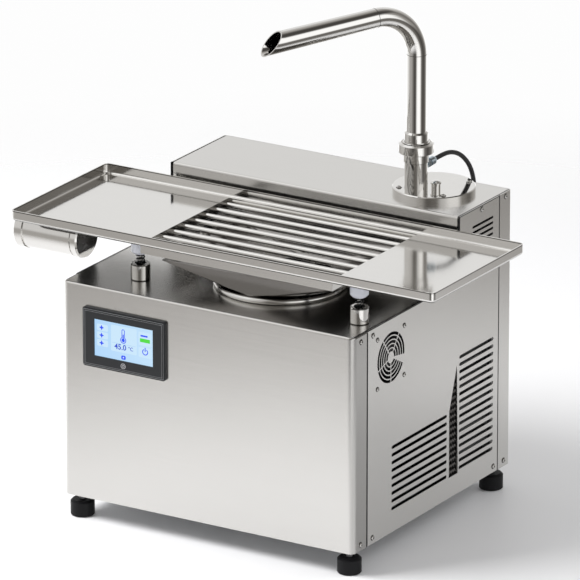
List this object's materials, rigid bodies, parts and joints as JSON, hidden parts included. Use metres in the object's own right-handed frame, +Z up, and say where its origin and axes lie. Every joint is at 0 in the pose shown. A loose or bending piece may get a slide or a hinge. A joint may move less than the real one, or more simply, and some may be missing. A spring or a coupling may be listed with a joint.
{
  "type": "chocolate tempering machine",
  "caption": "Table-top tempering machine: stainless cabinet with touch panel, heated bowl with funnel, sprung vibrating table with rod grate, and a swivelling spout fed by a screw pump.",
  "frame": {"origin": "bottom centre of the overall bounding box, on the floor under the feet", "axes": "+X to the right seen from the front, +Y from the front panel to the rear, +Z up"},
  "size_m": [0.704, 0.4575, 0.727],
  "materials": {
    "satin_steel": "satin stainless sheet, fine grain",
    "polished_steel": "polished stainless",
    "zinc_steel": "zinc plated steel",
    "screw_steel": "plain stainless screws",
    "spring_steel": "black oxide spring wire",
    "white_plastic": "white acetal",
    "dark_plastic": "black moulded plastic",
    "bezel_plastic": "dark grey moulded plastic, fine texture",
    "display_glass": "lit display behind clear glass",
    "black_rubber": "moulded black rubber",
    "mesh_steel": "dark expanded metal",
    "motor_paint": "dark grey paint",
    "cast_aluminium": "die-cast aluminium",
    "box_paint": "light grey powder coat",
    "braid": "black braided sleeve",
    "compressor_paint": "gloss black paint",
    "gland_metal": "nickel plated brass"
  },
  "bodies": {
    "cabinet": {"front_shell": "satin_steel", "tower_cover": "satin_steel", "rear_panel": "satin_steel", "base_plate": "zinc_steel", "right_side_panel": "satin_steel", "left_side_panel": "satin_steel", "vent_mesh": "mesh_steel", "corner_posts": "zinc_steel", "panel_screws": "screw_steel", "rubber_feet": "black_rubber", "foot_bolts": "zinc_steel", "touch_bezel": "bezel_plastic", "touch_display": "display_glass", "touch_module": "dark_plastic", "fan_frame": "dark_plastic", "fan_screws": "screw_steel", "tank": "satin_steel", "heating_jacket": "satin_steel", "transfer_duct": "satin_steel", "funnel": "satin_steel", "shaft_seal": "black_rubber", "agitator_gearmotor": "motor_paint", "pump_gearmotor": "motor_paint", "pump_barrel": "satin_steel", "pump_head": "satin_steel", "flange_disc": "satin_steel", "flange_screws": "screw_steel", "bleed_plug": "polished_steel", "riser": "satin_steel", "support_cups": "satin_steel", "riser_gland": "gland_metal", "rear_gland": "gland_metal", "heater_lead": "braid", "mains_inlet": "dark_plastic", "compressor": "compressor_paint", "condenser": "cast_aluminium", "control_box": "box_paint"},
    "fan_rotor": {"fan_rotor": "dark_plastic"},
    "agitator": {"agitator_shaft": "polished_steel", "agitator_arm": "polished_steel", "scraper_blades": "white_plastic"},
    "pump_screw": {"auger": "polished_steel"},
    "table": {"table_pan": "satin_steel", "grate_rods": "polished_steel", "table_springs": "spring_steel", "spring_bushings": "white_plastic", "table_studs": "screw_steel", "vibrator_case": "cast_aluminium", "vibrator_left_cap": "cast_aluminium", "vibrator_right_cap": "cast_aluminium", "vibrator_shoe": "cast_aluminium"},
    "vibrator_rotor": {"vibrator_rotor": "zinc_steel", "eccentric_weights": "zinc_steel"},
    "spout": {"spout": "satin_steel"},
    "union_nut": {"union_nut": "satin_steel"}
  },
  "joints": [
    {"name": "fan_spin", "type": "hinge", "parent": "cabinet", "child": "fan_rotor", "pos_m": [0.2285, -0.12325, 0.2915], "axis": [1, 0, 0], "continuous": true},
    {"name": "agitator_turn", "type": "hinge", "parent": "cabinet", "child": "agitator", "pos_m": [0.04, -0.07825, 0.249], "axis": [0, 0, 1], "continuous": true},
    {"name": "pump_screw_turn", "type": "hinge", "parent": "cabinet", "child": "pump_screw", "pos_m": [0.156, 0.14125, 0.258], "axis": [0, 0, 1], "continuous": true},
    {"name": "table_shake", "type": "slide", "parent": "cabinet", "child": "table", "axis": [0, 0, 1], "range_m": [-0.003, 0.002], "stiffness_N_per_m": 18000, "springref_m": 0.00267, "deforming": ["table_springs"]},
    {"name": "vibrator_spin", "type": "hinge", "parent": "table", "child": "vibrator_rotor", "pos_m": [-0.2995, -0.12625, 0.3785], "axis": [1, 0, 0], "continuous": true},
    {"name": "spout_swing", "type": "hinge", "parent": "cabinet", "child": "spout", "pos_m": [0.1507, 0.10075, 0.5085], "axis": [0, 0, 1], "range_deg": [-60, 100]},
    {"name": "union_nut_turn", "type": "hinge", "parent": "cabinet", "child": "union_nut", "pos_m": [0.1507, 0.10075, 0.5185], "axis": [0, 0, 1], "range_deg": [0, 60]}
  ]
}
